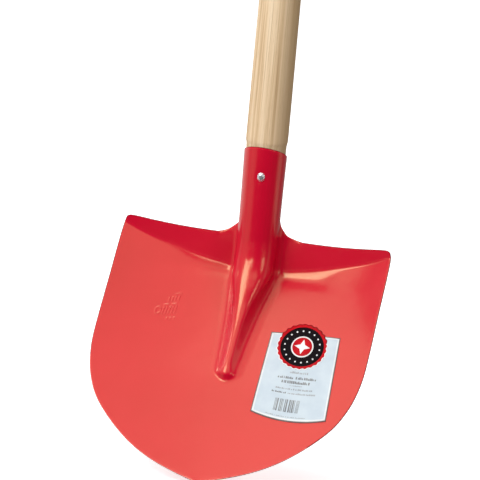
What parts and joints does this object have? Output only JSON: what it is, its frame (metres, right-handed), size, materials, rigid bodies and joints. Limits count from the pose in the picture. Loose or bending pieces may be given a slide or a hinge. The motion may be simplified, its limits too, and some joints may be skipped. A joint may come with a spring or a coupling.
{
  "type": "shovel",
  "caption": "Round-point shovel: a pressed red steel blade with stepped shoulders, a central rib and a rolled socket, riveted to a long straight ash handle.",
  "frame": {"origin": "middle of the object's box in X and Y, at the height of the blade's tip", "axes": "+Z along the handle towards its butt, -Y the working (front) side of the blade, +X to the right seen from the front"},
  "size_m": [0.2776, 0.1989, 1.507],
  "materials": {
    "blade_paint": "glossy stoved red enamel on pressed steel",
    "ash_wood": "sanded, unvarnished ash with a fine lengthwise grain",
    "rivet_steel": "bright zinc-plated steel",
    "washer_steel": "zinc-plated steel",
    "label_paper": "satin silver-grey printed film label",
    "seal_print": "satin printed film sticker, dark disc with a red scalloped ring"
  },
  "bodies": {
    "root": {"blade": "blade_paint", "handle": "ash_wood", "rivet": "rivet_steel", "rivet_washer": "washer_steel", "paper_label": "label_paper", "round_seal": "seal_print"}
  },
  "joints": []
}
